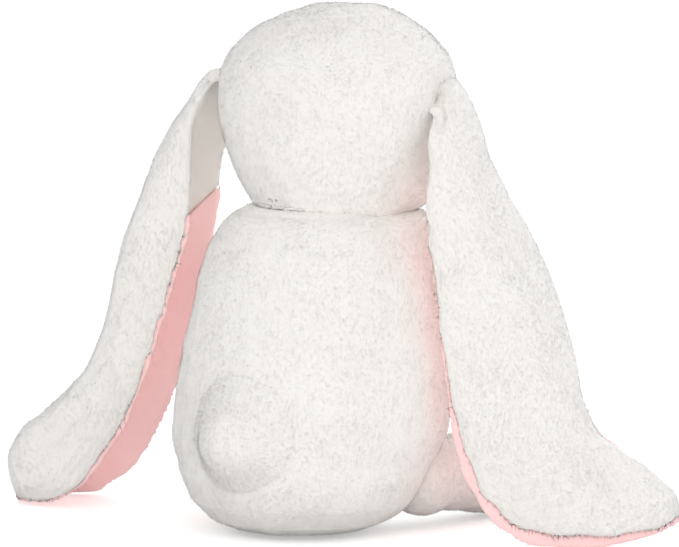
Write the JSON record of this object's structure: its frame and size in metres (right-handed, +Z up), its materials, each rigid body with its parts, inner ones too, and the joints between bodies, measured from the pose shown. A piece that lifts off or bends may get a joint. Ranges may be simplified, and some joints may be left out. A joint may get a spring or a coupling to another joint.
{
  "type": "stuffed bunny rabbit",
  "caption": "Sitting stuffed plush bunny with a round head, long drooping lined ears, soft arms and legs, and a puff tail.",
  "frame": {"origin": "on the floor under the middle of the torso", "axes": "+Z up, the bunny faces -Y, its left side is +X"},
  "size_m": [0.4112, 0.2286, 0.302],
  "materials": {
    "white_plush": "warm white short plush",
    "pink_plush": "soft pink velboa with a very short pile",
    "filling": "loose white polyester fibre",
    "pouch_cloth": "plain woven cloth around plastic pellets",
    "eye_plastic": "dark polished plastic",
    "washer_plastic": "white moulded plastic",
    "pink_thread": "pink satin stitch"
  },
  "bodies": {
    "torso": {"torso_back_left": "white_plush", "torso_back_right": "white_plush", "torso_belly": "white_plush", "torso_seat": "white_plush", "torso_filling": "filling", "pellet_pouch": "pouch_cloth", "tail_cover": "white_plush", "tail_filling": "filling"},
    "neck": {"neck_filling": "filling"},
    "head": {"head_side_left": "white_plush", "head_side_right": "white_plush", "head_gusset": "white_plush", "head_filling": "filling", "eye_left": "eye_plastic", "eye_right": "eye_plastic", "eye_washer_left": "washer_plastic", "eye_washer_right": "washer_plastic", "nose": "pink_thread", "mouth_stitching": "pink_thread"},
    "ear_left": {"ear_left_plush": "white_plush", "ear_left_lining": "pink_plush"},
    "ear_right": {"ear_right_plush": "white_plush", "ear_right_lining": "pink_plush"},
    "arm_left": {"arm_left_outer": "white_plush", "arm_left_inner": "white_plush", "arm_left_filling": "filling"},
    "arm_right": {"arm_right_outer": "white_plush", "arm_right_inner": "white_plush", "arm_right_filling": "filling"},
    "leg_left": {"leg_left_outer": "white_plush", "leg_left_inner": "white_plush", "leg_left_sole": "pink_plush", "leg_left_filling": "filling"},
    "leg_right": {"leg_right_outer": "white_plush", "leg_right_inner": "white_plush", "leg_right_sole": "pink_plush", "leg_right_filling": "filling"}
  },
  "joints": [
    {"name": "head_turn", "type": "hinge", "parent": "torso", "child": "neck", "pos_m": [0, -0.01879, 0.144], "axis": [0, 0, 1], "range_deg": [-10, 10], "stiffness_Nm_per_rad": 1},
    {"name": "head_nod", "type": "hinge", "parent": "neck", "child": "head", "pos_m": [0, -0.01879, 0.144], "axis": [1, 0, 0], "range_deg": [-6, 6], "stiffness_Nm_per_rad": 6},
    {"name": "ear_left_lift", "type": "hinge", "parent": "head", "child": "ear_left", "pos_m": [0.062, -0.027, 0.26], "axis": [0, -1, 0], "range_deg": [0, 85]},
    {"name": "ear_right_lift", "type": "hinge", "parent": "head", "child": "ear_right", "pos_m": [-0.062, -0.027, 0.26], "axis": [0, 1, 0], "range_deg": [0, 85]},
    {"name": "arm_left_lift", "type": "hinge", "parent": "torso", "child": "arm_left", "pos_m": [0.06399, -0.0377, 0.142], "axis": [-0.9588, -0.284, 0.0073], "range_deg": [0, 45], "stiffness_Nm_per_rad": 0.15},
    {"name": "arm_right_lift", "type": "hinge", "parent": "torso", "child": "arm_right", "pos_m": [-0.06399, -0.0377, 0.142], "axis": [-0.9588, 0.284, -0.0073], "range_deg": [0, 45], "stiffness_Nm_per_rad": 0.15},
    {"name": "leg_left_lift", "type": "hinge", "parent": "torso", "child": "leg_left", "pos_m": [0.05198, -0.04224, 0.031], "axis": [-1, 0, 0], "range_deg": [0, 16], "stiffness_Nm_per_rad": 0.3},
    {"name": "leg_right_lift", "type": "hinge", "parent": "torso", "child": "leg_right", "pos_m": [-0.05198, -0.04224, 0.031], "axis": [-1, 0, 0], "range_deg": [0, 16], "stiffness_Nm_per_rad": 0.3}
  ]
}
